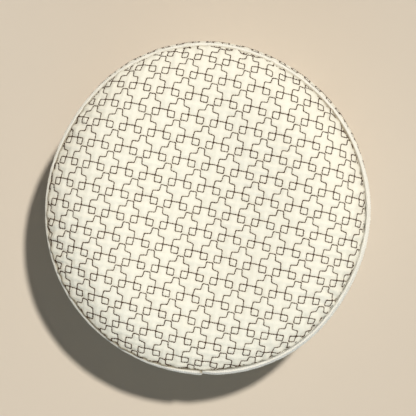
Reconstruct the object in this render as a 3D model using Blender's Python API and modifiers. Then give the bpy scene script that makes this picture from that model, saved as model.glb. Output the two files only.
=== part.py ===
"""A quilted prayer cap: a softly domed crown, the piping in its seam and an upright band round the head.

Metres, +Z up. The cap stands on its rim with the crown on top. The front is towards -Y and the back, where the
piping and the band are closed, towards +Y. The origin is on the floor, under the middle of the rim.
"""

import math

import bpy

MM = 0.001

# The head opening and the crown seam are ovals, longer from front to back. Radii are of the outer face.
RIM_HALF_WIDTH = 90.6 * MM
RIM_HALF_LENGTH = 92.4 * MM
SEAM_HALF_WIDTH = 87.6 * MM
SEAM_HALF_LENGTH = 89.2 * MM
CAP_HEIGHT = 90.0 * MM

# The quilted cloth: two layers of cotton with wadding between them.
CLOTH = 2.2 * MM
EDGE_ROUNDING = 0.6 * MM

# Before it is folded the crown is flat in the middle and rolls over ever faster to its seam.
SEAM_SLOPE = math.radians(50)
SLOPE_POWER = 4
SLOPE_STEPS = 80

# Kept folded lengthwise, the crown still sags along a soft wide valley from front to back, and not at its seam. Its
# bottom line runs a little askew, turned from the front towards +X, and passes the middle at a distance along X.
FOLD_DEPTH = 7.5 * MM
FOLD_HALF_WIDTH = 44.0 * MM
FOLD_SIDE = -2.0 * MM
FOLD_TURN = math.radians(5)
FOLD_FADE_POWER = 4

# The piping is a cord in a strip of cloth. Its centre is given from the seam line: out from it and below it.
PIPING_RADIUS = 1.35 * MM
PIPING_PROUD = {"out": 1.60 * MM, "below": 1.20 * MM}
PIPING_TUCKED = {"out": -0.50 * MM, "below": 2.65 * MM}
PIPING_RESOLUTION = 3

# The band stands a little out of the seam at its top, swells out just below it and opens evenly from there to the rim,
# with a hem turned up inside.
BAND_STAND = 0.6 * MM
SWELL_DOWN = 6.0 * MM
SEAM_GAP = 0.35 * MM
HEM_HEIGHT = 12.0 * MM
HEM_STEP = 3.0 * MM
HEM_THICKNESS = 2.7 * MM
TOP_FADE = 14.0 * MM

# How the soft cap departs from the clean ovals, going round it anticlockwise from +X as seen from above:
# seam_out is how far the crown seam stands out of its oval, tuck runs from 0, piping proud of the seam, to 1,
# piping rolled under the crown, and swell is how far the band stands out just below the seam.
AROUND_COLUMNS = ("angle_deg", "seam_out_mm", "tuck", "swell_mm")
AROUND = (
    (0, -0.4, 0.80, 0.4),
    (30, 0.3, 0.68, 0.7),
    (60, 0.35, 0.80, 0.4),
    (90, -1.0, 0.10, 1.2),
    (120, -0.25, 0.0, 1.2),
    (150, -1.25, 0.0, 1.2),
    (180, -0.45, 0.08, 1.4),
    (210, -0.65, 0.48, 1.9),
    (240, -1.1, 0.69, 1.9),
    (270, 0.2, 0.64, 1.7),
    (300, -0.15, 0.70, 1.6),
    (330, -1.9, 0.43, 1.0),
)

# Facets: stations round the head, and rings across the crown and down the band, closer towards the seam.
STATIONS = 72
CROWN_RINGS = 12
LINING_RINGS = 8
RING_CROWDING = 1.5
BAND_RINGS = 12
BAND_CROWDING = 1.8
SHARP_ANGLE = math.radians(40)
MERGE_DISTANCE = 0.00001

COTTON = (0.88, 0.84, 0.74, 1.0)
COTTON_ROUGHNESS = 0.9

SEAM_RADIUS = (SEAM_HALF_WIDTH + SEAM_HALF_LENGTH) / 2
RIM_RADIUS = (RIM_HALF_WIDTH + RIM_HALF_LENGTH) / 2


def mix(low, high, share):
    """The value a share of the way from low to high."""
    return low + (high - low) * share


def around(column, angle):
    """A column of the table at any angle, on a smooth closed curve through its rows."""
    index = AROUND_COLUMNS.index(column)
    place = (math.degrees(angle) % 360) / 360 * len(AROUND)
    first = int(place)
    share = place - first
    before, start, end, after = (AROUND[(first + k) % len(AROUND)][index] for k in (-1, 0, 1, 2))
    leaving = (end - before) / 2
    arriving = (after - start) / 2
    turn = 2 * (start - end) + leaving + arriving
    bend = 3 * (end - start) - 2 * leaving - arriving
    return ((turn * share + bend) * share + leaving) * share + start


def oval(half_width, half_length, angle):
    """The radius of an oval at an angle from +X."""
    across = half_length * math.cos(angle)
    along = half_width * math.sin(angle)
    return half_width * half_length / math.hypot(across, along)


def seam_radius(angle):
    """The crown's seam line, seen from above."""
    return oval(SEAM_HALF_WIDTH, SEAM_HALF_LENGTH, angle) + around("seam_out_mm", angle) * MM


def crown_slope(share):
    """How steeply the crown falls at a share of the way from its middle to its seam."""
    return SEAM_SLOPE * share**SLOPE_POWER


def crown_drop(share):
    """How far the crown has fallen below its middle at that share of the way."""
    step = share / SLOPE_STEPS
    falls = (math.tan(crown_slope((k + 0.5) * step)) for k in range(SLOPE_STEPS))
    return sum(falls) * step * SEAM_RADIUS


def fold_drop(share, angle):
    """How far the valley of the fold lowers the crown, a share of the way out and at an angle from +X."""
    across = share * seam_radius(angle) * math.cos(angle + FOLD_TURN) - FOLD_SIDE
    return FOLD_DEPTH * math.exp(-((across / FOLD_HALF_WIDTH) ** 2)) * (1 - share**FOLD_FADE_POWER)


SEAM_HEIGHT = CAP_HEIGHT - crown_drop(1.0)


def piping_centre(angle):
    """Radius and height of the middle of the piping."""
    tuck = min(max(around("tuck", angle), 0.0), 1.0)
    out = mix(PIPING_PROUD["out"], PIPING_TUCKED["out"], tuck)
    below = mix(PIPING_PROUD["below"], PIPING_TUCKED["below"], tuck)
    return seam_radius(angle) + out, SEAM_HEIGHT - below


def band_top(angle):
    """The height of the band's upper edge, just under the piping."""
    return piping_centre(angle)[1] - PIPING_RADIUS - SEAM_GAP


BAND_HEIGHT = SEAM_HEIGHT - PIPING_PROUD["below"] - PIPING_RADIUS - SEAM_GAP


def swelling(share):
    """How much of its swell the band has at a share of the way down it."""
    place = share * BAND_HEIGHT / SWELL_DOWN
    return place * math.exp(1 - place)


def band_radius(angle, share):
    """The band's outer face at a share of the way down from its top."""
    top = seam_radius(angle) + BAND_STAND
    rim = oval(RIM_HALF_WIDTH, RIM_HALF_LENGTH, angle)
    return mix(top, rim, share) + around("swell_mm", angle) * MM * swelling(share)


def round_band_radius(share):
    """The same face on a cap that is perfectly round."""
    return mix(SEAM_RADIUS + BAND_STAND, RIM_RADIUS, share)


def crown_point(share, depth):
    """A point of the round crown's section, a share of the way out and a depth into the cloth."""
    slope = crown_slope(share)
    radius = share * SEAM_RADIUS - depth * math.sin(slope)
    return max(radius, 0.0), CAP_HEIGHT - crown_drop(share) - depth * math.cos(slope)


def ring_places(rings):
    """Where the rings of the crown lie, from its middle to just before its edge."""
    last = 1 - EDGE_ROUNDING * math.cos(SEAM_SLOPE) / SEAM_RADIUS
    return [last * (1 - (1 - k / rings) ** RING_CROWDING) for k in range(rings + 1)]


def crown_section():
    """The round crown's section, from the top of its middle, over its edge, to the underside."""
    section = [crown_point(share, 0.0) for share in ring_places(CROWN_RINGS)]
    section += [crown_point(1.0, EDGE_ROUNDING), crown_point(1.0, CLOTH - EDGE_ROUNDING)]
    section += [crown_point(share, CLOTH) for share in reversed(ring_places(LINING_RINGS))]
    return section


def band_places(top, bottom):
    """Where the band's rings lie between two shares of the way down it, closer towards the top."""
    return [mix(top, bottom, (k / BAND_RINGS) ** BAND_CROWDING) for k in range(BAND_RINGS + 1)]


def band_section():
    """The round band's section: down its outer face, across the flat foot of the hem and up the inside."""
    foot = EDGE_ROUNDING / BAND_HEIGHT
    places = [(foot / 2, EDGE_ROUNDING)]
    places += [(share, 0.0) for share in band_places(foot, 1 - foot)]
    places += [(1.0, EDGE_ROUNDING), (1.0, HEM_THICKNESS - EDGE_ROUNDING), (1 - foot, HEM_THICKNESS)]
    hem_top = 1 - HEM_HEIGHT / BAND_HEIGHT
    places += [(hem_top, HEM_THICKNESS), (hem_top - HEM_STEP / BAND_HEIGHT, CLOTH)]
    places += [(share, CLOTH) for share in reversed(band_places(foot, hem_top)[:-1])]
    places += [(foot / 2, CLOTH - EDGE_ROUNDING)]
    return [(round_band_radius(share) - depth, BAND_HEIGHT * (1 - share)) for share, depth in places]


def clear_scene():
    """Removes what a new file starts with."""
    for obj in list(bpy.data.objects):
        bpy.data.objects.remove(obj, do_unlink=True)


def cotton(name):
    """Cream cotton for one piece."""
    material = bpy.data.materials.new(name)
    material.use_nodes = True
    shader = material.node_tree.nodes["Principled BSDF"]
    shader.inputs["Base Color"].default_value = COTTON
    shader.inputs["Roughness"].default_value = COTTON_ROUGHNESS
    shader.inputs["Metallic"].default_value = 0.0
    return material


def place(name, data, collection):
    """An object of that name in the cap's collection, with its own cotton."""
    obj = bpy.data.objects.new(name, data)
    collection.objects.link(obj)
    data.materials.append(cotton(name + "_cotton"))
    return obj


def turned(name, section, closed, collection):
    """Turns a section about the cap's axis and keeps the result as a plain mesh."""
    points = [(radius, 0.0, height) for radius, height in section]
    edges = [(k, k + 1) for k in range(len(points) - 1)]
    if closed:
        edges.append((len(points) - 1, 0))
    mesh = bpy.data.meshes.new(name)
    mesh.from_pydata(points, edges, [])
    obj = place(name, mesh, collection)
    screw = obj.modifiers.new("turn", "SCREW")
    screw.axis = "Z"
    screw.steps = STATIONS
    screw.render_steps = STATIONS
    screw.use_merge_vertices = True
    screw.merge_threshold = MERGE_DISTANCE
    screw.use_smooth_shade = True
    evaluated = obj.evaluated_get(bpy.context.evaluated_depsgraph_get())
    obj.data = bpy.data.meshes.new_from_object(evaluated)
    obj.data.name = name
    obj.modifiers.clear()
    bpy.data.meshes.remove(mesh)
    return obj


def ease(obj, rule):
    """Moves each point by a rule that takes its radius, height and angle and gives the new radius and height."""
    for vertex in obj.data.vertices:
        x, y, z = vertex.co
        angle = math.atan2(y, x)
        radius, height = rule(math.hypot(x, y), z, angle)
        vertex.co = (radius * math.cos(angle), radius * math.sin(angle), height)


def ease_crown(radius, height, angle):
    """Draws the round crown out to the seam's oval and lets it sag along its fold."""
    share = min(radius / SEAM_RADIUS, 1.0)
    return share * seam_radius(angle), height - fold_drop(share, angle)


def ease_band(radius, height, angle):
    """Draws the round band to the ovals of seam and rim, and its upper edge to the piping."""
    share = min(max(1 - height / BAND_HEIGHT, 0.0), 1.0)
    near_top = max(0.0, 1 - share * BAND_HEIGHT / TOP_FADE)
    radius += band_radius(angle, share) - round_band_radius(share)
    return radius, height + near_top * (band_top(angle) - BAND_HEIGHT)


def shade_smooth(obj):
    """Smooth shading on the soft faces, with the cut edges kept crisp."""
    obj.data.shade_smooth()
    obj.data.set_sharp_from_angle(angle=SHARP_ANGLE)


def make_crown(collection):
    """The quilted top: a thin soft dome, open underneath."""
    crown = turned("crown", crown_section(), False, collection)
    ease(crown, ease_crown)
    shade_smooth(crown)


def make_side_band(collection):
    """The upright quilted band, with its hem."""
    band = turned("side_band", band_section(), True, collection)
    ease(band, ease_band)
    shade_smooth(band)


def make_crown_piping(collection):
    """The covered cord, laid all round in the corner between crown and band."""
    curve = bpy.data.curves.new("crown_piping", "CURVE")
    curve.dimensions = "3D"
    curve.bevel_depth = PIPING_RADIUS
    curve.bevel_resolution = PIPING_RESOLUTION
    curve.twist_mode = "Z_UP"
    spline = curve.splines.new("POLY")
    spline.points.add(STATIONS - 1)
    spline.use_cyclic_u = True
    spline.use_smooth = True
    for k, point in enumerate(spline.points):
        angle = 2 * math.pi * k / STATIONS
        radius, height = piping_centre(angle)
        point.co = (radius * math.cos(angle), radius * math.sin(angle), height, 1.0)
    place("crown_piping", curve, collection)


def main():
    clear_scene()
    collection = bpy.data.collections.new("prayer_cap")
    bpy.context.scene.collection.children.link(collection)
    make_crown(collection)
    make_crown_piping(collection)
    make_side_band(collection)


main()
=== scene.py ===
import math

import bpy
import numpy as np
from mathutils import Matrix, Vector


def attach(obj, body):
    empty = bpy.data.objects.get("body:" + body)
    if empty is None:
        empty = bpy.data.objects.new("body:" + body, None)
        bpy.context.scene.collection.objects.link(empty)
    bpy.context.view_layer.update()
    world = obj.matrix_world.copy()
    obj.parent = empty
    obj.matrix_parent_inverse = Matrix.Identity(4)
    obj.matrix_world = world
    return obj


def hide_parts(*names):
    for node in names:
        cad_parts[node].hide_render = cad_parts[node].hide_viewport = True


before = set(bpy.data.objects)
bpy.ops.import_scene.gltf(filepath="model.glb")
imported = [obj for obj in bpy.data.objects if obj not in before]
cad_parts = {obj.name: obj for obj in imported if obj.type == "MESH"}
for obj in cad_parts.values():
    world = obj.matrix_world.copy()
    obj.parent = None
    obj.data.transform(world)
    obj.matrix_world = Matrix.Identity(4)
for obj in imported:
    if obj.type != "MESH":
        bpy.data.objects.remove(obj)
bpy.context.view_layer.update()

MM = 0.001

# The photograph: 416 x 416 pixels, and what its camera sees.
PHOTO_WIDTH = 416
PIXEL = 0.54 * MM
CROWN_PIXEL = {"right": 205.1, "down": 209.9}
LEAN_RIGHT = math.radians(-1.8)
LEAN_DOWN = math.radians(1.4)
DISTANCE_PIXELS = 2600
SENSOR_WIDTH = 36.0
FARTHEST_SEEN = 20.0

# The cap's form, with the same values as the solids it is dressed over.
RIM_HALF_WIDTH = 90.6 * MM
RIM_HALF_LENGTH = 92.4 * MM
SEAM_HALF_WIDTH = 87.6 * MM
SEAM_HALF_LENGTH = 89.2 * MM
SEAM_RADIUS = (SEAM_HALF_WIDTH + SEAM_HALF_LENGTH) / 2
CAP_HEIGHT = 90.0 * MM
CLOTH = 2.2 * MM
SEAM_SLOPE = math.radians(50)
SLOPE_POWER = 4
FOLD_DEPTH = 7.5 * MM
FOLD_HALF_WIDTH = 44.0 * MM
FOLD_SIDE = -2.0 * MM
FOLD_TURN = math.radians(5)
FOLD_FADE_POWER = 4
PIPING_RADIUS = 1.35 * MM
PIPING_PROUD = {"out": 1.60 * MM, "below": 1.20 * MM}
PIPING_TUCKED = {"out": -0.50 * MM, "below": 2.65 * MM}
BAND_STAND = 0.6 * MM
SWELL_DOWN = 6.0 * MM
SEAM_GAP = 0.35 * MM
HEM_HEIGHT = 12.0 * MM
HEM_THICKNESS = 2.7 * MM
TOP_FADE = 14.0 * MM
# crease is how much shade is painted in and beside the crown's seam crease, and the column after it how
# much bluish grey shade is painted on the piping's sides, both from 0 to 1. eased_mm is how much more of
# the crown's cloth is drawn into its edge. The other columns are the solids' own.
AROUND_COLUMNS = ("angle_deg", "seam_out_mm", "tuck", "swell_mm", "crease", "piping_painted_shade", "eased_mm")
AROUND = (
    (0, -0.4, 0.80, 0.4, 0.7, 0.0, 0.0),
    (30, 0.3, 0.68, 0.7, 1.0, 0.2, -0.4),
    (60, 0.35, 0.80, 0.4, 1.0, 0.5, -0.2),
    (90, -1.0, 0.10, 1.2, 0.7, 0.9, 0.0),
    (120, -0.25, 0.0, 1.2, 0.25, 1.0, 0.0),
    (150, -1.25, 0.0, 1.2, 0.35, 0.6, 0.0),
    (180, -0.45, 0.08, 1.4, 0.3, 0.0, -0.5),
    (210, -0.65, 0.48, 1.9, 0.85, 0.0, 0.0),
    (240, -1.1, 0.69, 1.9, 0.4, 0.0, 0.9),
    (270, 0.2, 0.64, 1.7, 0.3, 0.0, 1.3),
    (300, -0.15, 0.70, 1.6, 0.2, 0.0, 1.2),
    (330, -1.9, 0.43, 1.0, 0.7, 0.0, 0.4),
)

# The quilting on the crown, in the cloth as it lies over the dome: a runs to the photograph's right and b
# down it, both from the middle. A row of cells runs along the first direction, and the next row lies along
# the second.
ROW = {"length": 16.15 * MM, "angle": math.radians(12.14)}
COLUMN = {"length": 11.95 * MM, "angle": math.radians(101.07)}
ROW_WAY = ROW["length"] * np.array([math.cos(ROW["angle"]), math.sin(ROW["angle"])])
COLUMN_WAY = COLUMN["length"] * np.array([math.cos(COLUMN["angle"]), math.sin(COLUMN["angle"])])
CELL_WAYS = np.stack([ROW_WAY, COLUMN_WAY], axis=-1)
TO_CELLS = np.linalg.inv(CELL_WAYS)
PATTERN_START = {"s": -0.056, "t": 0.116}
# How far the quilting has crept from its even rows at the crown's edge, which is that reach from the
# middle, going round it as the other table does. It creeps less towards the middle.
CROWN_REACH = 88.0 * MM
CREEP_COLUMNS = ("angle_deg", "right_mm", "down_mm")
CREEP_POWER = 2.5
CREEP = (
    (0, 0.3, 0.8),
    (30, 0.1, 0.1),
    (60, 0.1, 0.1),
    (90, 0.9, 1.2),
    (120, 2.0, 1.0),
    (150, 1.8, 0.6),
    (180, 0.8, 1.1),
    (210, 0.5, 0.6),
    (240, 0.2, 0.7),
    (270, 0.1, -0.1),
    (300, 0.4, 0.0),
    (330, 0.7, 0.3),
)

# One cell of the quilting, as the needle sews it. Each place is s, a share of the way along the row, and
# t, a share of the way down the column.
CELL_PATH = (
    (0.06, 0.05),
    (0.31, 0.05),
    (0.31, 0.37),
    (0.06, 0.37),
    (0.06, 0.05),
    (0.07, -0.27),
    (0.30, -0.28),
    (0.31, -0.59),
    (0.54, -0.59),
    (0.54, -0.28),
    (0.77, -0.26),
    (0.77, 0.06),
    (0.77, 0.39),
    (0.53, 0.39),
    (0.53, 0.05),
    (0.77, 0.06),
)
# Rows and cells that are sewn on each side of the crown's middle, and how far out their corners are
# followed. The thread goes down at the last share of the way to the seam.
SEWN = {"rows": 9, "cells": 8, "reach": 1.25 * CROWN_REACH, "fewest_corners": 4, "last_share": 0.999}

# The stitches: three to a side of a square, each lying on the cloth and going into it at both ends. The
# thread draws the corners in a little, and lies double where a square is closed.
STITCH = 1.26 * MM
SHORTEST_STITCH = 0.01 * MM
LONGEST_STITCH = 1.5 * STITCH
STITCH_SPREAD = 0.06 * MM
STITCH_WIDTHS = (0.88, 1.32)
THREAD_HALF_WIDTH = 0.25 * MM
CORNER_PULL = 0.19 * MM
KNOT = {"corner": 0, "length": 0.55 * MM, "widths": (0.9, 1.7)}
# Sections of a stitch: share of the way along, lift off the cloth in millimetres, and share of its width.
STITCH_STATIONS = (
    (0.00, -0.05, 0.55),
    (0.25, 0.10, 1.0),
    (0.75, 0.10, 1.0),
    (1.00, -0.05, 0.55),
)
# The outline of a section, in half widths of the thread: across it and up from the cloth.
THREAD_SECTION = ((-1.0, 0.0), (-0.55, 0.9), (0.55, 0.9), (1.0, 0.0))
BAND_THREAD_SECTION = ((-1.0, 0.0), (0.0, 1.0), (1.0, 0.0))

# The wadding: how far the cloth stands up between the stitches, how far from them it is full, and how deep
# it lies at them. Shade is painted darker on the cloth within a shorter reach of them.
PUFF = 0.62 * MM
PUFF_REACH = 2.2 * MM
PUFF_POWER = 1.6
VALLEY = -0.25 * MM
QUILT_SHADE_REACH = 1.2 * MM
# How much shade is painted on the cloth where no quilting is sewn through it.
PLAIN_PAINTED_SHADE = {"crown": 0.6, "edge": 0.6, "inside": 0.3, "hem": 0.2}

# Random waves have sizes, or numbers round the cap, between these shares of the one asked for.
WAVE_SIZES = (0.7, 1.6)
WAVE_COUNTS = (0.6, 1.4)
# A soft ridge of the crown: place of its middle, half width across, half length along, the way it runs
# from the photograph's right, and height.
RIDGE = {
    "right": -19.0 * MM,
    "down": -58.0 * MM,
    "half_width": 3.0 * MM,
    "half_length": 26.0 * MM,
    "angle": math.radians(99.0),
    "height": 0.35 * MM,
}
# Its wide waves, its wrinkles, which are longer to the photograph's right than down it, and the gathers at
# its seam.
WAVES = {"height": 0.18 * MM, "size": 22.0 * MM}
WRINKLES = {"height": 0.12 * MM, "size": 6.0 * MM, "right": 0.6, "down": 1.4}
CROWN_GATHERS = {"height": 0.30 * MM, "reach": 9.0 * MM, "count": 74}
# How near the seam the crown's cloth is eased into it, and the turns that it takes to find a point of that
# cloth. A point past the seam is held just outside it meanwhile, and marked as off the crown in the end.
EASE_REACH = 3.0 * MM
EASE_TURNS = 8
JUST_OUTSIDE = 0.001
OFF_CROWN = 2.0
# The turns that it takes to find the point of the cloth at a place in the crept quilting.
CREEP_TURNS = 12
# Painted shade at the crown's seam: a narrow dark line in the crease, and a faint painted shade beside it.
SEAM_LINE = 0.7 * MM
PIPING_CREASE_SHADE = 0.4 * MM
SEAM_PAINTED_SHADE = {"width": 3.4 * MM, "share": 0.26}
# How far the crown's cloth rolls over outside its seam.
ROLL = 0.8 * MM

# Facets of the dressing. CROWN_INSIDE has the rings of the crown's underside, as shares of the way out.
TABLE_STEPS = 1001
CROWN_GRID = 272
CROWN_INSIDE = (0.985, 0.95, 0.90, 0.80, 0.66, 0.52, 0.38, 0.24, 0.10)
ROLL_STEPS = 4
PIPING_STATIONS = 1700
PIPING_SIDES = 24
BAND_STATIONS = 840
BAND_ROWS = 92
BAND_CROWDING = 1.15
HEM_ROWS = 5
INSIDE_ROWS = 10

# Where the piping's ends are lapped at the back, as angles round the cap, and how far each leaves the seam.
JOIN = {
    "under": math.radians(85.5),
    "over": math.radians(88.7),
    "ease": math.radians(9.0),
    "under_out": -1.0 * MM,
    "under_up": -1.4 * MM,
    "over_out": 0.1 * MM,
    "over_up": 0.5 * MM,
}
# Each end is rounded off within this reach of it, and least keeps it from closing to a point.
CORD_END = {"reach": PIPING_RADIUS / 2, "least": 0.02}
# The cord is a little uneven, and the cloth round it lies in fine ribs, fuller where it stands proud. Its
# sides, and the hollows between the ribs, have a bluish grey shade painted on by these shares.
CORD_LUMPS = {"height": 0.05 * MM, "size": 14.0 * MM}
RIBS = {"length": 1.1 * MM, "slant": 0.5 * MM, "flat": 0.06 * MM, "full": 0.16 * MM}
PAINTED_PIPING_SHARES = {"sides": 0.80, "hollows": 0.35}
# A fine groove runs along it. Where it stands proud the piping is pressed flat on its outer side, under a
# narrow crest. Turns go up from outwards.
GROOVE = {"turn": 0.55, "width": 0.12, "depth": 0.10 * MM}
PRESSED = {"turn": 0.75, "width": 0.55, "depth": 0.45 * MM}
CREST = {"turn": 1.80, "width": 0.32, "height": 0.15 * MM}
# Brown thread that shows here and there in the crease between the crown and the piping.
CREASE_THREAD = {"share": 0.993, "stitch": 1.5 * MM, "seen": 0.45, "run": 5.0 * MM}
# The few stitches over one another that fasten the piping's ends.
TACK = {"angle": math.radians(88.7), "share": 0.993, "count": 10, "length": 1.3 * MM, "spread": 0.45 * MM}
# The dark brown notch painted on the over-lapping end's crown side, from its end and by its turn.
NOTCH = {"from_end": 0.2 * MM, "length": 1.5 * MM, "turn": 2.2, "width": 1.0}

# The band's quilting: cells round the cap, the place in a row that its top edge cuts, the rows that are
# sewn, and how near the thread comes to the back seam, the top and the foot.
BAND_CELLS = 34.6
BAND_START = 0.56
BAND_SEWN = (-8, 2)
BAND_MARGINS = {"back": 0.5 * MM, "top": 0.8 * MM, "foot": 1.0 * MM}
# Its section. Its top edge, the span of its quilted face and the last row of its inside, at the top, are
# shares of the way down. Its edges are rounded, its puffing fades at the foot, and inside there is a step
# above the hem.
BAND_TOP = 0.004
BAND_QUILTED = (0.012, 1.0 - 0.008)
BAND_EDGE = 0.6 * MM
FOOT_FADE = 1.5 * MM
HEM_STEP = {"begins": 0.5 * MM, "ends": 2.0 * MM}
INSIDE_LAST = 0.02
# The waves of its outer face and the puckers at its top, both stretched upright, settle near the foot.
BAND_WAVES = {"height": 0.35 * MM, "size": 46.0 * MM, "upright": 0.35, "full_below": 30.0 * MM}
PUCKERS = {"height": 0.15 * MM, "size": 7.0 * MM, "upright": 0.3, "reach": 7.0 * MM}
HEM_WAVES = {"height": 0.1 * MM, "size": 9.0 * MM}
FOOT_SETTLED = 4.0 * MM
# The crease of the seam at the back, the swellings beside it, and the groove and thread of the hem's sewing.
BACK_SEAM = {"depth": 0.9 * MM, "half_width": 0.8 * MM}
BACK_SWELL = {"height": 0.35 * MM, "from_seam": 2.5 * MM, "half_width": 1.6 * MM}
HEM_LINE = {"height": 10.5 * MM, "half_width": 0.8 * MM, "depth": 0.35 * MM}
HEM_THREAD = {
    "stitch": 2.6 * MM,
    "half_width": 0.16 * MM,
    "lift": 0.05 * MM,
    "spread": 0.06 * MM,
    "from_seam": 1.5 * MM,
}

# Materials. A unit of the cloth's own map is 10 mm.
CLOTH_UNIT = 10.0 * MM
THREAD_PITCH = 0.36 * MM
WEAVE_SHARE = 0.25
CREAM = (0.88, 0.865, 0.755, 1.0)
CREAM_SHADE = (0.855, 0.835, 0.72, 1.0)
# The colour of the shade painted in the quilting's hollows.
PAINTED_CREAM_SHADE = (0.72, 0.67, 0.54, 1.0)
PIPING_CREAM = (0.88, 0.865, 0.775, 1.0)
PIPING_SHADE = (0.81, 0.795, 0.71, 1.0)
# A bluish grey shade painted on the piping's sides and in the hollows between its ribs.
PAINTED_PIPING_GREY = (0.38, 0.41, 0.43, 1.0)
# Olive brown: the shade painted in the seam's crease, also used for the dark notch at the piping's join.
SEAM_BROWN = (0.26, 0.205, 0.115, 1.0)
# The power and strength of the hollows' painted shade, then the strength of the seam's painted darkening.
PAINTED_SHADE_POWER = 3.0
PAINTED_SHADE_STRENGTH = 0.45
SEAM_STRENGTH = 0.9
SHEEN_ROUGHNESS = 0.5
THREAD_LIGHT = (0.105, 0.055, 0.028, 1.0)
THREAD_DARK = (0.022, 0.008, 0.004, 1.0)
FIBRE_SCALE = 900.0
FLOOR_COLOUR = (0.60, 0.53, 0.44, 1.0)
FLOOR_HALF = 20.0
KEY = {
    "strength": 3.3,
    "softness": math.radians(3),
    "colour": (1.0, 0.962, 0.91),
    "off_vertical": math.radians(22.5),
    "turn": math.radians(50),
}
FILL = {
    "strength": 0.6,
    "softness": math.radians(50),
    "colour": (0.60, 0.83, 1.0),
    "off_vertical": math.radians(72),
    "turn": math.radians(-95),
}
SKY = {"overhead": 0.10, "horizon": 1.3, "reach": 0.25, "colour": (1.0, 0.97, 0.92, 1.0)}


def running_sum(values):
    """The area under evenly spaced values from 0 to 1, up to each of them."""
    return np.concatenate([[0.0], np.cumsum((values[1:] + values[:-1]) / 2)]) / (len(values) - 1)


# Worked out from the sizes above: the crown's slope, its fall and its length along the cloth, at shares of
# the way from its middle to its seam, and the band's height, length and cells.
SHARES = np.linspace(0.0, 1.0, TABLE_STEPS)
SLOPES = SEAM_SLOPE * SHARES**SLOPE_POWER
FALLS = running_sum(np.tan(SLOPES)) * SEAM_RADIUS
ARCS = running_sum(1 / np.cos(SLOPES))
SEAM_HEIGHT = CAP_HEIGHT - FALLS[-1]
BAND_HEIGHT = SEAM_HEIGHT - PIPING_PROUD["below"] - PIPING_RADIUS - SEAM_GAP
RIM_RADIUS = (RIM_HALF_WIDTH + RIM_HALF_LENGTH) / 2
BAND_LENGTH = math.tau * RIM_RADIUS
BAND_CELL = BAND_LENGTH / BAND_CELLS
BAND_ALONG = np.array([BAND_CELL, 0.0])
BAND_UP = np.array([0.0, -COLUMN["length"]])


def mix(low, high, share):
    """The value a share of the way from low to high."""
    return low + (high - low) * share


def smooth(value):
    """Eases from 0 to 1."""
    value = np.clip(value, 0.0, 1.0)
    return value * value * (3 - 2 * value)


def bell(distance, half_width):
    """1 in the middle, falling softly to nothing on both sides."""
    return np.exp(-((distance / half_width) ** 2))


def ripples(x, y, size, seed, count=7):
    """A soft random surface between about -1 and 1, with hills of about the given size."""
    rng = np.random.default_rng(seed)
    total = np.zeros(np.broadcast(x, y).shape)
    for _ in range(count):
        way = rng.uniform(0, 2 * math.pi)
        wave = size * rng.uniform(*WAVE_SIZES)
        phase = rng.uniform(0, 2 * math.pi)
        total += np.sin((x * math.cos(way) + y * math.sin(way)) * 2 * math.pi / wave + phase)
    return total / math.sqrt(count)


def pleats(angle, count, seed, terms=7):
    """A soft random wave round the cap with about the given number of crests, between about -1 and 1."""
    rng = np.random.default_rng(seed)
    fewest, most = (round(share * count) for share in WAVE_COUNTS)
    total = np.zeros(np.shape(angle))
    for _ in range(terms):
        crests = rng.integers(fewest, most)
        total += np.sin(crests * angle + rng.uniform(0, math.tau))
    return total / math.sqrt(terms)


def around(name, angle, columns=AROUND_COLUMNS, rows=AROUND):
    """A column of a table of the cap's turn at any angle, on a smooth closed curve through its rows."""
    values = np.array([row[columns.index(name)] for row in rows], dtype=float)
    place = (np.degrees(angle) % 360) / 360 * len(values)
    first = np.floor(place).astype(int)
    share = place - first
    before, start, end, after = (values[(first + k) % len(values)] for k in (-1, 0, 1, 2))
    leaving = (end - before) / 2
    arriving = (after - start) / 2
    turn = 2 * (start - end) + leaving + arriving
    bend = 3 * (end - start) - 2 * leaving - arriving
    return ((turn * share + bend) * share + leaving) * share + start


def share_around(name, angle):
    """A column of that table that is a share, kept from 0 to 1 between its rows."""
    return np.clip(around(name, angle), 0.0, 1.0)


def oval(half_width, half_length, angle):
    """The radius of an oval at an angle from +X."""
    return half_width * half_length / np.hypot(half_length * np.cos(angle), half_width * np.sin(angle))


def seam_radius(angle):
    """The crown's seam line, seen from above."""
    return oval(SEAM_HALF_WIDTH, SEAM_HALF_LENGTH, angle) + around("seam_out_mm", angle) * MM


def cell_place(a, b):
    """Where in the quilting a point of the crown's cloth lies: cells along the row, rows down the column."""
    angle = np.arctan2(b, -a)
    crept = (np.hypot(a, b) / CROWN_REACH) ** CREEP_POWER * MM
    a = a - around("right_mm", angle, CREEP_COLUMNS, CREEP) * crept
    b = b - around("down_mm", angle, CREEP_COLUMNS, CREEP) * crept
    s = PATTERN_START["s"] + TO_CELLS[0, 0] * a + TO_CELLS[0, 1] * b
    t = PATTERN_START["t"] + TO_CELLS[1, 0] * a + TO_CELLS[1, 1] * b
    return s, t


def cloth_place(s, t):
    """The point of the crown's cloth at a place in the quilting, kept within reach while it is sought."""
    farthest = 2 * CROWN_REACH
    a = np.zeros_like(s)
    b = np.zeros_like(s)
    for _ in range(CREEP_TURNS):
        s_now, t_now = cell_place(a, b)
        a = np.clip(a + CELL_WAYS[0, 0] * (s - s_now) + CELL_WAYS[0, 1] * (t - t_now), -farthest, farthest)
        b = np.clip(b + CELL_WAYS[1, 0] * (s - s_now) + CELL_WAYS[1, 1] * (t - t_now), -farthest, farthest)
    return a, b


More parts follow.
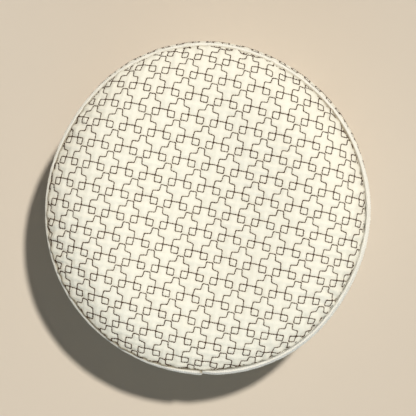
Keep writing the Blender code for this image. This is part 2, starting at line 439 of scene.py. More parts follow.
def quilt_gap(s, t, along, down):
    """How far a place in the quilting is from the nearest line of stitches. along and down are a cell's sides
    as vectors in metres."""
    path = np.array(CELL_PATH + ((CELL_PATH[0][0] + 1, CELL_PATH[0][1]),))
    s = s - np.floor(s)
    t = t - np.floor(t)
    nearest = np.full(s.shape, 1.0)
    for row in (0, 1):
        for cell in (-1, 0, 1):
            for k in range(len(path) - 1):
                start = path[k] + (cell, row)
                end = path[k + 1] + (cell, row)
                run = (end[0] - start[0]) * along + (end[1] - start[1]) * down
                x = (s - start[0]) * along[0] + (t - start[1]) * down[0]
                y = (s - start[0]) * along[1] + (t - start[1]) * down[1]
                share = np.clip((x * run[0] + y * run[1]) / (run @ run), 0.0, 1.0)
                nearest = np.minimum(nearest, np.hypot(x - share * run[0], y - share * run[1]))
    return nearest


def puff(gap):
    """How far the cloth stands above the stitches' valley, at that distance from them."""
    return PUFF * (1 - np.exp(-((gap / PUFF_REACH) ** PUFF_POWER)))


def painted_quilt_shade(gap):
    """How much shade is painted on the cloth at that distance from the stitches, from 0 to 1."""
    return np.exp(-((gap / QUILT_SHADE_REACH) ** PUFF_POWER))


def mesh_piece(name, points, faces, material, cloth=None, shades=None):
    """A smooth piece from its points and faces. cloth is each point's place in the flat cloth, in metres, and
    shades are values from 0 to 1 by name: how much shade is painted on each point, and how dark the seam is
    painted."""
    mesh = bpy.data.meshes.new(name)
    mesh.from_pydata(points.tolist(), [], [list(face) for face in faces])
    mesh.shade_smooth()
    corners = np.empty(len(mesh.loops), dtype=np.int32)
    mesh.loops.foreach_get("vertex_index", corners)
    if cloth is not None:
        layer = mesh.uv_layers.new(name="cloth")
        layer.data.foreach_set("uv", (cloth[corners] / CLOTH_UNIT).astype(np.float32).ravel())
    for shade, values in (shades or {}).items():
        mesh.attributes.new(shade, "FLOAT", "POINT").data.foreach_set("value", values.astype(np.float32))
    mesh.materials.append(material)
    obj = bpy.data.objects.new(name, mesh)
    bpy.context.scene.collection.objects.link(obj)
    return obj


def grid_faces(rows, columns, first=0, ring=False):
    """Four-sided faces between rows of points, each row numbered after the one before."""
    across = columns if ring else columns - 1
    row, place = np.meshgrid(np.arange(rows - 1), np.arange(across), indexing="ij")
    here = first + row * columns + place
    beside = first + row * columns + (place + 1) % columns
    return np.stack([here, beside, beside + columns, here + columns], axis=-1).reshape(-1, 4)


def fold_drop(share, angle):
    """How far the valley of the fold lowers the crown, a share of the way out and at an angle from +X."""
    across = share * seam_radius(angle) * np.cos(angle + FOLD_TURN) - FOLD_SIDE
    return FOLD_DEPTH * bell(across, FOLD_HALF_WIDTH) * (1 - np.minimum(share, 1) ** FOLD_FADE_POWER)


def crown_point(share, angle, lift):
    """A point above the crown's outer face, a share of the way out and a lift along the cloth's normal."""
    slope = np.interp(share, SHARES, SLOPES)
    radius = share * seam_radius(angle) + lift * np.sin(slope)
    height = CAP_HEIGHT - np.interp(share, SHARES, FALLS) - fold_drop(share, angle) + lift * np.cos(slope)
    return np.stack([radius * np.cos(angle), radius * np.sin(angle), height], axis=-1)


def crown_normal(share, angle):
    """The way the crown's cloth faces."""
    slope = np.interp(share, SHARES, SLOPES)
    return np.stack([np.sin(slope) * np.cos(angle), np.sin(slope) * np.sin(angle), np.cos(slope)], axis=-1)


def drawn_to_edge(share, angle):
    """How much farther out in the cloth a point of the crown lies where the cloth is eased into the seam."""
    return around("eased_mm", angle) * MM * np.exp(-(1 - share) * SEAM_RADIUS / EASE_REACH)


def crown_cloth(share, angle):
    """The place in the flat cloth of a point of the crown."""
    reach = seam_radius(angle) * np.interp(share, SHARES, ARCS) + drawn_to_edge(share, angle)
    return -reach * np.cos(angle), reach * np.sin(angle)


def crown_share(a, b):
    """Where over the crown a place in the cloth lies: share of the way out, and angle."""
    angle = np.arctan2(b, -a)
    reach = np.hypot(a, b)
    radius = seam_radius(angle)
    share = np.interp(reach / radius, ARCS, SHARES)
    for _ in range(EASE_TURNS):
        share = np.interp((reach - drawn_to_edge(share, angle)) / radius, ARCS, SHARES, right=OFF_CROWN)
        share = np.where(share > 1, 1 + (share - 1) * JUST_OUTSIDE, share)
    return np.where(share > 1, OFF_CROWN, share), angle


def crown_relief(a, b, share, angle):
    """The soft ridge, waves, wrinkles and gathers of the crown."""
    turn = RIDGE["angle"]
    x = a - RIDGE["right"]
    y = b - RIDGE["down"]
    along = (x * math.cos(turn) + y * math.sin(turn)) / RIDGE["half_length"]
    across = (y * math.cos(turn) - x * math.sin(turn)) / RIDGE["half_width"]
    lift = RIDGE["height"] * np.exp(-(across**2) - along**2)
    lift += WAVES["height"] * ripples(a, b, WAVES["size"], seed=3)
    stretched = (WRINKLES["right"] * a, WRINKLES["down"] * b)
    lift += WRINKLES["height"] * ripples(*stretched, WRINKLES["size"], seed=4)
    fade = bell((1 - share) * SEAM_RADIUS, CROWN_GATHERS["reach"])
    lift += CROWN_GATHERS["height"] * pleats(angle, CROWN_GATHERS["count"], seed=5) * fade
    return lift


def concentric(count):
    """A square grid drawn to a disc: share of the way out and angle of each point, row by row."""
    line = np.linspace(-1, 1, count + 1)
    x, y = np.meshgrid(line, line)
    wide = np.abs(x) >= np.abs(y)
    lead = np.where(wide, x, y)
    safe = np.where(lead == 0, 1.0, lead)
    turn = np.where(wide, y / safe, 2 - x / safe) * math.pi / 4
    return np.abs(lead).ravel(), (turn + np.where(lead < 0, math.pi, 0)).ravel()


def grid_rim(count):
    """The points on the edge of that grid, going round it anticlockwise."""
    last = count + 1
    bottom = np.arange(count)
    right = np.arange(count) * last + count
    top = count * last + np.arange(count, 0, -1)
    left = np.arange(count, 0, -1) * last
    return np.concatenate([bottom, right, top, left])


def crown_rings(angle, lift):
    """Rings of points from the edge of the crown's outer face, over the roll into the seam and along the
    underside."""
    tangent = np.stack([
        math.cos(SEAM_SLOPE) * np.cos(angle),
        math.cos(SEAM_SLOPE) * np.sin(angle),
        np.full(len(angle), -math.sin(SEAM_SLOPE)),
    ], axis=-1)
    rings = []
    for k in range(1, ROLL_STEPS + 1):
        turn = math.pi * k / ROLL_STEPS
        depth = mix(lift, -CLOTH, (1 - math.cos(turn)) / 2)
        rings.append(crown_point(np.ones(len(angle)), angle, depth) + tangent * ROLL * math.sin(turn))
    for inside in CROWN_INSIDE:
        rings.append(crown_point(np.full(len(angle), inside), angle, np.full(len(angle), -CLOTH)))
    return rings


def crown_faces(rim, first, rings):
    """The faces of the crown's grid, of that many rings below its rim, numbered from first, and of the fan
    that closes them in the middle."""
    ring = np.arange(len(rim))
    beside = np.roll(ring, -1)
    pole = first + rings * len(rim)
    last = pole - len(rim)
    grid = grid_faces(CROWN_GRID + 1, CROWN_GRID + 1)
    edge = np.stack([rim[beside], rim, first + ring, first + beside], axis=-1)
    inside = grid_faces(rings, len(rim), first, ring=True)[:, ::-1]
    fan = np.stack([last + beside, last + ring, np.full(len(rim), pole)], axis=-1)
    return np.concatenate([grid, edge, inside]).tolist() + fan.tolist()


def make_crown(material):
    """The quilted top: its puffed outer face, the roll into the seam, and the plain underside."""
    reach, angle = concentric(CROWN_GRID)
    share = np.interp(reach * ARCS[-1], ARCS, SHARES)
    a, b = crown_cloth(share, angle)
    s, t = cell_place(a, b)
    gap = quilt_gap(s, t, ROW_WAY, COLUMN_WAY)
    lift = VALLEY + puff(gap) + crown_relief(a, b, share, angle)
    # Painted shade: a dark line in the seam's crease and a faint shade beside it, scaled by the crease
    # column.
    from_seam = (1 - share) * SEAM_RADIUS
    seam_darkening = bell(from_seam, SEAM_LINE) + SEAM_PAINTED_SHADE["share"] * np.exp(-from_seam / SEAM_PAINTED_SHADE["width"])
    seam_darkening = np.clip(seam_darkening * around("crease", angle), 0.0, 1.0)
    flat = np.stack([a, b], axis=-1)

    rim = grid_rim(CROWN_GRID)
    rings = crown_rings(angle[rim], lift[rim])
    rolled = (1.0,) * ROLL_STEPS
    plain = (0.0,) * len(CROWN_INSIDE)
    pole = crown_point(np.zeros(1), np.zeros(1), np.array([-CLOTH]))
    points = [crown_point(share, angle, lift)] + rings + [pole]
    cloth = [flat] + [flat[rim] * inward for inward in rolled + CROWN_INSIDE] + [np.zeros((1, 2))]
    # Shade painted near the stitches, and an even painted shade over the roll and the underside.
    painted_shading = [painted_quilt_shade(gap), np.full(len(rings) * len(rim) + 1, PLAIN_PAINTED_SHADE["crown"])]
    seam = [seam_darkening] + [seam_darkening[rim] * shade for shade in rolled + plain] + [np.zeros(1)]
    shades = {"valley": np.concatenate(painted_shading), "seam": np.concatenate(seam)}
    faces = crown_faces(rim, len(share), len(rings))
    return mesh_piece("quilted_crown", np.concatenate(points), faces, material, np.concatenate(cloth), shades)


def drawn_in(path):
    """The corners of a path drawn in a little, as the thread does when it is pulled tight."""
    before = path[:-2] - path[1:-1]
    after = path[2:] - path[1:-1]
    before /= np.maximum(np.linalg.norm(before, axis=1), SHORTEST_STITCH)[:, None]
    after /= np.maximum(np.linalg.norm(after, axis=1), SHORTEST_STITCH)[:, None]
    return np.concatenate([path[:1], path[1:-1] + CORNER_PULL * (before + after), path[-1:]])


def sewn(path, rng):
    """Starts and ends of the stitches along a path in the cloth, a whole number of them to each side."""
    holes = []
    for start, end in zip(path[:-1], path[1:]):
        count = max(1, round(float(np.linalg.norm(end - start)) / STITCH))
        holes.append(mix(start, end, np.arange(count)[:, None] / count))
    holes = np.concatenate(holes + [path[-1:]])
    holes += rng.normal(0, STITCH_SPREAD, holes.shape)
    return holes[:-1], holes[1:]


def knots(corners, rng):
    """Starts and ends of the short doubled stitches where the squares are closed."""
    way = rng.uniform(0, math.tau, len(corners))
    half = np.stack([np.cos(way), np.sin(way)], axis=-1) * KNOT["length"] / 2
    return corners - half, corners + half


def crease_stitches(rng):
    """Starts and ends of the runs of thread that show along the crown's seam, and of the tack at the join."""
    count = round(math.tau * SEAM_RADIUS / CREASE_THREAD["stitch"])
    angle = np.linspace(0, math.tau, count + 1)
    a, b = crown_cloth(np.full(count + 1, CREASE_THREAD["share"]), angle)
    holes = np.stack([a, b], axis=-1)
    crests = round(math.tau * SEAM_RADIUS / CREASE_THREAD["run"])
    wave = pleats(angle[:-1], crests, seed=8)
    seen = wave > np.quantile(wave, 1 - CREASE_THREAD["seen"])
    a, b = crown_cloth(np.array([TACK["share"]]), np.array([TACK["angle"]]))
    middle = np.stack([a, b], axis=-1) + rng.uniform(-1, 1, (TACK["count"], 2)) * TACK["spread"]
    half = TACK["length"] / 2 * np.array([math.sin(TACK["angle"]), math.cos(TACK["angle"])])
    starts = np.concatenate([holes[:-1][seen], middle - half])
    ends = np.concatenate([holes[1:][seen], middle + half])
    return starts, ends


def thread_piece(name, starts, ends, widths, surface, section, material):
    """Stitches of those half widths from places to places in the cloth. surface gives a point and the way the
    cloth faces there, for a place and a lift."""
    rows = []
    for along, lift_mm, width in STITCH_STATIONS:
        place = mix(starts, ends, along)
        point, normal = surface(place[:, 0], place[:, 1], lift_mm * MM)
        rows.append((point, normal, width))
    way = rows[-1][0] - rows[0][0]
    way /= np.linalg.norm(way, axis=1)[:, None]
    points = []
    for point, normal, width in rows:
        side = np.cross(normal, way)
        side /= np.linalg.norm(side, axis=1)[:, None]
        points += [point + (widths * width)[:, None] * (side * x + normal * y) for x, y in section]
    points = np.stack(points, axis=1)
    count, each = points.shape[:2]
    one = grid_faces(len(rows), len(section))
    faces = (np.arange(count)[:, None, None] * each + one[None]).reshape(-1, 4)
    return mesh_piece(name, points.reshape(-1, 3), faces, material)


def crown_surface(a, b, lift):
    """The surface rule for stitches on the crown, whose cloth lies at the valley's level there."""
    share, angle = crown_share(a, b)
    high = VALLEY + lift + crown_relief(a, b, share, angle)
    return crown_point(share, angle, high), crown_normal(share, angle)


def crown_stitches(material):
    """The quilting's thread on the crown, row by row, to where each row goes into the seam."""
    rng = np.random.default_rng(seed=11)
    starts, ends, widths = [], [], []
    cell = np.array(CELL_PATH)
    corner = slice(KNOT["corner"], None, len(cell))
    for row in range(-SEWN["rows"], SEWN["rows"] + 1):
        path = np.concatenate([cell + (k, row) for k in range(-SEWN["cells"], SEWN["cells"] + 1)])
        a, b = cloth_place(path[:, 0], path[:, 1])
        inside = np.hypot(a, b) < SEWN["reach"]
        if inside.sum() < SEWN["fewest_corners"]:
            continue
        path = np.stack([a, b], axis=-1)
        lines = sewn(drawn_in(path[inside]), rng)
        closings = knots(path[corner][inside[corner]], rng)
        for (first, second), spread in ((lines, STITCH_WIDTHS), (closings, KNOT["widths"])):
            first_share, _ = crown_share(first[:, 0], first[:, 1])
            second_share, _ = crown_share(second[:, 0], second[:, 1])
            length = np.linalg.norm(second - first, axis=1)
            kept = (length > SHORTEST_STITCH) & (length < LONGEST_STITCH)
            kept &= np.maximum(first_share, second_share) < SEWN["last_share"]
            starts.append(first[kept])
            ends.append(second[kept])
            widths.append(rng.uniform(*spread, kept.sum()) * THREAD_HALF_WIDTH)
    first, second = crease_stitches(rng)
    starts = np.concatenate(starts + [first])
    ends = np.concatenate(ends + [second])
    widths = np.concatenate(widths + [np.full(len(first), THREAD_HALF_WIDTH)])
    return thread_piece("crown_stitching", starts, ends, widths, crown_surface, THREAD_SECTION, material)


def piping_centre(angle):
    """Radius and height of the middle of the piping."""
    tuck = share_around("tuck", angle)
    out = mix(PIPING_PROUD["out"], PIPING_TUCKED["out"], tuck)
    below = mix(PIPING_PROUD["below"], PIPING_TUCKED["below"], tuck)
    return seam_radius(angle) + out, SEAM_HEIGHT - below


def piping_course():
    """Angle, radius and height along the middle of the piping, from the end that lies under to the one that
    laps over it."""
    angle = np.linspace(JOIN["under"], JOIN["over"] + math.tau, PIPING_STATIONS)
    radius, height = piping_centre(angle)
    from_under = smooth(1 - (angle - angle[0]) / JOIN["ease"])
    from_over = smooth(1 - (angle[-1] - angle) / JOIN["ease"])
    radius = radius + JOIN["under_out"] * from_under + JOIN["over_out"] * from_over
    height = height + JOIN["under_up"] * from_under + JOIN["over_up"] * from_over
    return angle[:, None], radius[:, None], height[:, None]


def make_piping(material):
    """The covered cord, gathered along it, with its two ends lapped over one another at the back."""
    angle, radius, height = piping_course()
    first, last = angle[0, 0] * SEAM_RADIUS, angle[-1, 0] * SEAM_RADIUS
    turns = np.linspace(0, math.tau, PIPING_SIDES, endpoint=False)
    along, turn = np.meshgrid(angle[:, 0] * SEAM_RADIUS, turns, indexing="ij")
    proud = 1 - share_around("tuck", angle)
    ribs = ripples(along + RIBS["slant"] * np.sin(turn), turn * MM, RIBS["length"], seed=21)
    crest = bell(turn - CREST["turn"], CREST["width"])
    pressed = bell(turn - PRESSED["turn"], PRESSED["width"])
    size = PIPING_RADIUS + ribs * mix(RIBS["flat"], RIBS["full"], proud)
    size -= bell(turn - GROOVE["turn"], GROOVE["width"]) * GROOVE["depth"]
    size += (CREST["height"] * crest - PRESSED["depth"] * pressed) * proud
    size += CORD_LUMPS["height"] * ripples(along, turn * MM, CORD_LUMPS["size"], seed=22)
    from_end = np.clip(np.minimum(along - first, last - along) / CORD_END["reach"], 0, 1)
    size *= np.sqrt(np.clip(1 - (1 - from_end) ** 2, CORD_END["least"], 1))
    out = radius + size * np.cos(turn)
    points = np.stack([out * np.cos(angle), out * np.sin(angle), height + size * np.sin(turn)], axis=-1)

    sides = grid_faces(PIPING_STATIONS, PIPING_SIDES, ring=True)[:, (0, 3, 2, 1)].tolist()
    points_in_all = PIPING_STATIONS * PIPING_SIDES
    under_end = list(range(PIPING_SIDES))
    over_end = list(range(points_in_all - 1, points_in_all - PIPING_SIDES - 1, -1))

    # Bluish grey shade painted on the piping's sides, by angle round the cap, and between its ribs; shade
    # painted on its side of the crease; and the dark notch at the over-lapping end.
    painted_sides = PAINTED_PIPING_SHARES["sides"] * (1 - crest) * share_around("piping_painted_shade", angle)
    painted_piping_shade = np.clip(painted_sides + PAINTED_PIPING_SHARES["hollows"] * (1 - ribs), 0.0, 1.0)
    seam_darkening = bell(out - seam_radius(angle), PIPING_CREASE_SHADE) * (np.sin(turn) > 0) * share_around("crease", angle)
    notch = bell(last - along - NOTCH["from_end"], NOTCH["length"])
    notch *= bell(turn - NOTCH["turn"], NOTCH["width"])
    shades = {"valley": painted_piping_shade.ravel(), "seam": np.clip(seam_darkening + notch, 0.0, 1.0).ravel()}
    cloth = np.stack([along, turn * PIPING_RADIUS], axis=-1).reshape(-1, 2)
    faces = sides + [under_end, over_end]
    return mesh_piece("gathered_piping", points.reshape(-1, 3), faces, material, cloth, shades)


def band_point(angle, share, depth):
    """A point of the band, by its angle round the cap, share of the way down and depth in the cloth."""
    top = seam_radius(angle) + BAND_STAND
    rim = oval(RIM_HALF_WIDTH, RIM_HALF_LENGTH, angle)
    down = share * BAND_HEIGHT / SWELL_DOWN
    radius = mix(top, rim, share) + around("swell_mm", angle) * MM * down * np.exp(1 - down) - depth
    near_top = np.clip(1 - share * BAND_HEIGHT / TOP_FADE, 0, None)
    band_top = piping_centre(angle)[1] - PIPING_RADIUS - SEAM_GAP
    height = BAND_HEIGHT * (1 - share) + near_top * (band_top - BAND_HEIGHT)
    return np.stack([radius * np.cos(angle), radius * np.sin(angle), height], axis=-1)


def band_relief(x, y):
    """The soft waves and seams of the band, at a length round it and a distance down it."""
    waves = BAND_WAVES["height"] * ripples(x, y * BAND_WAVES["upright"], BAND_WAVES["size"], seed=31)
    waves *= smooth(y / BAND_WAVES["full_below"])
    puckers = PUCKERS["height"] * ripples(x, y * PUCKERS["upright"], PUCKERS["size"], seed=32)
    puckers *= bell(y, PUCKERS["reach"])
    from_seam = np.minimum(x, BAND_LENGTH - x)
    seam = -BACK_SEAM["depth"] * bell(from_seam, BACK_SEAM["half_width"])
    swell = BACK_SWELL["height"] * bell(from_seam - BACK_SWELL["from_seam"], BACK_SWELL["half_width"])
    hem = -HEM_LINE["depth"] * bell(BAND_HEIGHT - y - HEM_LINE["height"], HEM_LINE["half_width"])
    settled = smooth((BAND_HEIGHT - y) / FOOT_SETTLED)
    return (waves + puckers) * settled + seam + swell + hem


def make_band(material):
    """The upright quilted band: outer face, foot, hem and inside, with its closing seam at the back."""
    angle = math.pi / 2 + np.linspace(0, math.tau, BAND_STATIONS + 1)
    x = np.linspace(0, BAND_LENGTH, BAND_STATIONS + 1)
    rows, cloth, valley = [], [], []

    def row(share, depth, painted_shading):
        """A row of points all round the band, with their places in the flat cloth and the shade painted on
        them.
        """
        rows.append(band_point(angle, np.full_like(angle, share), depth))
        cloth.append(np.stack([x, np.full_like(x, share * BAND_HEIGHT)], axis=-1))
        valley.append(np.broadcast_to(painted_shading, x.shape))

    # The shade painted on each row: darker near the stitches, and even on the plain edge, foot, hem and
    # inside.
    row(BAND_TOP, BAND_EDGE, PLAIN_PAINTED_SHADE["edge"])
    for share in mix(*BAND_QUILTED, np.linspace(0.0, 1.0, BAND_ROWS) ** BAND_CROWDING):
        y = np.full_like(x, share * BAND_HEIGHT)
        gap = quilt_gap(x / BAND_CELL, BAND_START - y / COLUMN["length"], BAND_ALONG, BAND_UP)
        fade = smooth((1 - share) * BAND_HEIGHT / FOOT_FADE)
        row(share, -(VALLEY + puff(gap)) * fade - band_relief(x, y), painted_quilt_shade(gap))
    foot = BAND_EDGE / BAND_HEIGHT
    row(1.0, BAND_EDGE, PLAIN_PAINTED_SHADE["inside"])
    row(1.0, HEM_THICKNESS - BAND_EDGE, PLAIN_PAINTED_SHADE["inside"])
    row(1 - foot, HEM_THICKNESS, PLAIN_PAINTED_SHADE["hem"])
    hem_top = 1 - HEM_HEIGHT / BAND_HEIGHT
    hem_waves = HEM_WAVES["height"] * ripples(x, x * 0, HEM_WAVES["size"], seed=41)
    for share in np.linspace(1 - 2 * foot, hem_top, HEM_ROWS):
        row(share, HEM_THICKNESS + hem_waves, PLAIN_PAINTED_SHADE["hem"])
    row(hem_top - HEM_STEP["begins"] / BAND_HEIGHT, CLOTH, PLAIN_PAINTED_SHADE["edge"])
    for share in np.linspace(hem_top - HEM_STEP["ends"] / BAND_HEIGHT, INSIDE_LAST, INSIDE_ROWS):
        row(share, CLOTH, PLAIN_PAINTED_SHADE["inside"])
    row(BAND_TOP, CLOTH - BAND_EDGE, PLAIN_PAINTED_SHADE["edge"])
    row(BAND_TOP, BAND_EDGE, PLAIN_PAINTED_SHADE["edge"])
    faces = grid_faces(len(rows), BAND_STATIONS + 1)[:, ::-1]
    shades = {"valley": np.concatenate(valley)}
    return mesh_piece("quilted_band", np.concatenate(rows), faces, material, np.concatenate(cloth), shades)


def band_surface(base):
    """The surface rule for stitches on the band, whose cloth lies at that level there."""
    def surface(x, y, lift):
        """A point of the band's cloth and the way it faces, for a place in it and a lift."""
        angle = math.pi / 2 + x / BAND_LENGTH * math.tau
        share = y / BAND_HEIGHT
        point = band_point(angle, share, -(base + lift) - band_relief(x, y))
        normal = np.stack([np.cos(angle), np.sin(angle), np.zeros_like(angle)], axis=-1)
        return point, normal
    return surface


def band_stitches(material):
    """The quilting's thread on the band, from under the piping to just above the rim."""
    rng = np.random.default_rng(seed=12)
    starts, ends = [], []
    cell = np.array(CELL_PATH)
    for row in range(*BAND_SEWN):
        path = np.concatenate([cell + (k, row) for k in range(-1, math.ceil(BAND_CELLS) + 1)])
        path = drawn_in((path - (0, BAND_START)) * (BAND_ALONG + BAND_UP))
        first, second = sewn(path, rng)
        low = np.minimum(first, second)
        high = np.maximum(first, second)
        kept = (low[:, 0] > BAND_MARGINS["back"]) & (high[:, 0] < BAND_LENGTH - BAND_MARGINS["back"])
        kept &= (low[:, 1] > BAND_MARGINS["top"]) & (high[:, 1] < BAND_HEIGHT - BAND_MARGINS["foot"])
        starts.append(first[kept])
        ends.append(second[kept])
    starts = np.concatenate(starts)
    ends = np.concatenate(ends)
    widths = rng.uniform(*STITCH_WIDTHS, len(starts)) * THREAD_HALF_WIDTH
    surface = band_surface(VALLEY)
    return thread_piece("band_stitching", starts, ends, widths, surface, BAND_THREAD_SECTION, material)


def hem_stitches(material):
    """The line of plain sewing that holds the hem."""
    rng = np.random.default_rng(seed=13)
    x = np.arange(HEM_THREAD["from_seam"], BAND_LENGTH - HEM_THREAD["from_seam"], HEM_THREAD["stitch"])
    y = np.full_like(x, BAND_HEIGHT - HEM_LINE["height"]) + rng.uniform(-1, 1, len(x)) * HEM_THREAD["spread"]
    places = np.stack([x, y], axis=-1)
    widths = np.full(len(x) - 1, HEM_THREAD["half_width"])
    surface = band_surface(HEM_THREAD["lift"])
    return thread_piece("hem_stitching", places[:-1], places[1:], widths, surface, THREAD_SECTION, material)


def node(tree, kind, values=(), **links):
    """A shader node with some of its sockets set and some joined to other nodes' outputs."""
    made = tree.nodes.new(kind)
    for socket, value in dict(values).items():
        made.inputs[socket].default_value = value
    for socket, source in links.items():
        tree.links.new(source, made.inputs[socket])
    return made


def attribute(tree, name):
    """The value that the mesh keeps for each of its points under that name."""
    made = tree.nodes.new("ShaderNodeAttribute")
    made.attribute_name = name
    return made.outputs["Fac"]


def arithmetic(tree, operation, first, second=None):
    """A math node on one or two values, each a number or another node's output."""
    made = tree.nodes.new("ShaderNodeMath")
    made.operation = operation
    for socket, value in zip(made.inputs, (first, second)):
        if isinstance(value, (int, float)):
            socket.default_value = value
        elif value is not None:
            tree.links.new(value, socket)
    return made.outputs["Value"]


def blend(tree, low, high, factor):
    """A colour between two, each a colour or another node's output."""
    made = tree.nodes.new("ShaderNodeMix")
    made.data_type = "RGBA"
    for name, value in (("A", low), ("B", high)):
        socket = next(each for each in made.inputs if each.name == name and each.type == "RGBA")
        if isinstance(value, tuple):
            socket.default_value = value
        else:
            tree.links.new(value, socket)
    tree.links.new(factor, made.inputs["Factor"])
    return next(each for each in made.outputs if each.type == "RGBA")


def new_material(name, roughness, specular, sheen):
    """A plain material, with its node tree and its shader."""
    material = bpy.data.materials.new(name)
    material.use_nodes = True
    shader = material.node_tree.nodes["Principled BSDF"]
    shader.inputs["Roughness"].default_value = roughness
    shader.inputs["Specular IOR Level"].default_value = specular
    shader.inputs["Sheen Weight"].default_value = sheen
    shader.inputs["Sheen Roughness"].default_value = SHEEN_ROUGHNESS
    return material, material.node_tree, shader


def cotton(name, light, shade, painted_shade_colour):
    """Woven cream cotton: a plain weave, a little fuzz, soft patches of shade, painted shade down in the
    quilting, and painted shade in the seam's crease, with the dark notch of the piping's join."""
    material, tree, shader = new_material(name, roughness=0.9, specular=0.2, sheen=0.12)
    place = node(tree, "ShaderNodeUVMap")
    place.uv_map = "cloth"
    place = place.outputs["UV"]
    apart = node(tree, "ShaderNodeSeparateXYZ", Vector=place)
    pitch = CLOTH_UNIT / THREAD_PITCH * math.tau
    warp = arithmetic(tree, "SINE", arithmetic(tree, "MULTIPLY", apart.outputs["X"], pitch))
    weft = arithmetic(tree, "SINE", arithmetic(tree, "MULTIPLY", apart.outputs["Y"], pitch))
    weave = arithmetic(tree, "MULTIPLY", warp, weft)
    fuzz = node(tree, "ShaderNodeTexNoise", {"Scale": 9.0, "Detail": 4.0, "Roughness": 0.6}, Vector=place)
    height = arithmetic(tree, "ADD", arithmetic(tree, "MULTIPLY", weave, WEAVE_SHARE), fuzz.outputs["Fac"])
    bump = node(tree, "ShaderNodeBump", {"Strength": 0.35, "Distance": 0.15 * MM}, Height=height)
    tree.links.new(bump.outputs["Normal"], shader.inputs["Normal"])
    patches = node(tree, "ShaderNodeTexNoise", {"Scale": 1.3, "Detail": 3.0, "Roughness": 0.55}, Vector=place)
    patches = patches.outputs["Fac"]
    spread = node(tree, "ShaderNodeMapRange", {"From Min": 0.35, "From Max": 0.65}, Value=patches)
    colour = blend(tree, light, shade, spread.outputs["Result"])
    # Shade painted in the quilting's hollows, then the seam's painted shade and notch in olive brown.
    depth = arithmetic(tree, "POWER", attribute(tree, "valley"), PAINTED_SHADE_POWER)
    colour = blend(tree, colour, painted_shade_colour, arithmetic(tree, "MULTIPLY", depth, PAINTED_SHADE_STRENGTH))
    seam_darkening = arithmetic(tree, "MULTIPLY", attribute(tree, "seam"), SEAM_STRENGTH)
    colour = blend(tree, colour, SEAM_BROWN, seam_darkening)
    tree.links.new(colour, shader.inputs["Base Color"])
    return material


def thread(name, light, dark):
    """Twisted sewing thread."""
    material, tree, shader = new_material(name, roughness=0.8, specular=0.12, sheen=0.0)
    place = node(tree, "ShaderNodeTexCoord").outputs["Object"]
    patches = node(tree, "ShaderNodeTexNoise", {"Scale": FIBRE_SCALE, "Detail": 2.0}, Vector=place)
    colour = blend(tree, light, dark, patches.outputs["Fac"])
    tree.links.new(colour, shader.inputs["Base Color"])
    twist = node(tree, "ShaderNodeTexWave", {"Scale": FIBRE_SCALE, "Distortion": 1.0}, Vector=place)
    bump = node(tree, "ShaderNodeBump", {"Strength": 0.3, "Distance": 0.05 * MM}, Height=twist.outputs["Fac"])
    tree.links.new(bump.outputs["Normal"], shader.inputs["Normal"])
    return material


def make_floor():
    """The plain pale ground that the cap stands on."""
    half = FLOOR_HALF
    corners = [(-half, -half, 0), (half, -half, 0), (half, half, 0), (-half, half, 0)]
    mesh = bpy.data.meshes.new("floor")
    mesh.from_pydata(corners, [], [(0, 1, 2, 3)])
    material, tree, shader = new_material("floor_paper", roughness=0.95, specular=0.1, sheen=0.0)
    shader.inputs["Base Color"].default_value = FLOOR_COLOUR
    mesh.materials.append(material)
    floor = bpy.data.objects.new("floor", mesh)
    bpy.context.scene.collection.objects.link(floor)


def add_sun(name, light):
    """A distant light, at an angle off the vertical and turned from the photograph's right to its top."""
    sun = bpy.data.lights.new(name, "SUN")
    sun.energy = light["strength"]
    sun.angle = light["softness"]
    sun.color = light["colour"]
    lamp = bpy.data.objects.new(name, sun)
    side = math.sin(light["off_vertical"])
    up = math.cos(light["off_vertical"])
    way = Vector((-side * math.cos(light["turn"]), -side * math.sin(light["turn"]), up))
    lamp.rotation_euler = way.to_track_quat("Z", "Y").to_euler()
    lamp.location = way
    bpy.context.scene.collection.objects.link(lamp)


def make_light():
    """A key light from the photograph's upper right, a low cool fill from its lower side, and a studio whose
    walls are bright low down all round."""
    add_sun("key", KEY)
    add_sun("fill", FILL)
    world = bpy.data.worlds.new("studio")
    world.use_nodes = True
    tree = world.node_tree
    background = tree.nodes["Background"]
    background.inputs["Color"].default_value = SKY["colour"]
    way = node(tree, "ShaderNodeSeparateXYZ", Vector=node(tree, "ShaderNodeTexCoord").outputs["Generated"])
    level = node(tree, "ShaderNodeMapRange", {"From Max": SKY["reach"]}, Value=way.outputs["Z"])
    level.interpolation_type = "SMOOTHSTEP"
    level.inputs["To Min"].default_value = SKY["horizon"]
    level.inputs["To Max"].default_value = SKY["overhead"]
    tree.links.new(level.outputs["Result"], background.inputs["Strength"])
    bpy.context.scene.world = world


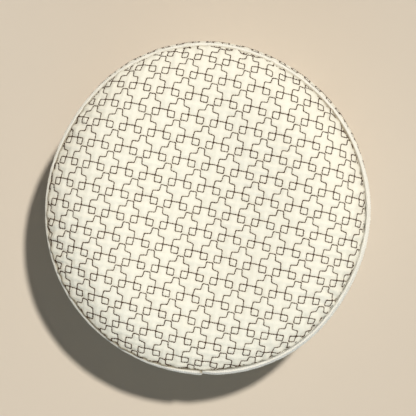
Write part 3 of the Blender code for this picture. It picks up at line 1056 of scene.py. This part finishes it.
def make_camera():
    """The photograph's camera: nearly overhead, with the cap's front to the top of the picture."""
    right = Vector((-math.cos(LEAN_RIGHT), 0, math.sin(LEAN_RIGHT)))
    down = Vector((
        math.sin(LEAN_RIGHT) * math.sin(LEAN_DOWN),
        math.cos(LEAN_DOWN),
        math.cos(LEAN_RIGHT) * math.sin(LEAN_DOWN),
    ))
    back = right.cross(-down)
    crown = Vector((0, 0, CAP_HEIGHT))
    place = crown + back * DISTANCE_PIXELS * PIXEL
    middle = PHOTO_WIDTH / 2
    target = crown + (right * (middle - CROWN_PIXEL["right"]) + down * (middle - CROWN_PIXEL["down"])) * PIXEL
    back = (place - target).normalized()
    right = (-down).cross(back).normalized()
    turn = Matrix((right, back.cross(right), back)).transposed()
    lens = bpy.data.cameras.new("camera")
    lens.sensor_width = SENSOR_WIDTH
    lens.lens = SENSOR_WIDTH * DISTANCE_PIXELS / PHOTO_WIDTH
    lens.clip_end = FARTHEST_SEEN
    camera = bpy.data.objects.new("camera", lens)
    camera.matrix_world = Matrix.Translation(place) @ turn.to_4x4()
    bpy.context.scene.collection.objects.link(camera)
    bpy.context.scene.camera = camera


make_camera()
make_light()
make_floor()
bpy.context.scene.view_settings.view_transform = "Standard"

crown_cotton = cotton("crown_cloth", CREAM, CREAM_SHADE, PAINTED_CREAM_SHADE)
band_cotton = cotton("band_cloth", CREAM, CREAM_SHADE, PAINTED_CREAM_SHADE)
piping_cotton = cotton("piping_cloth", PIPING_CREAM, PIPING_SHADE, PAINTED_PIPING_GREY)
brown_thread = thread("brown_thread", THREAD_LIGHT, THREAD_DARK)
cream_thread = thread("cream_thread", CREAM, CREAM_SHADE)

crown = make_crown(crown_cotton)
crown_thread = crown_stitches(brown_thread)
piping = make_piping(piping_cotton)
band = make_band(band_cotton)
band_thread = band_stitches(brown_thread)
hem_thread = hem_stitches(cream_thread)

for piece, name in (
    (crown, "crown_cotton"),
    (crown_thread, "crown_cotton"),
    (piping, "piping_cotton"),
    (band, "band_cotton"),
    (band_thread, "band_cotton"),
    (hem_thread, "band_cotton"),
):
    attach(piece, "root")
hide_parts("crown")
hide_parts("crown_piping")
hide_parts("side_band")
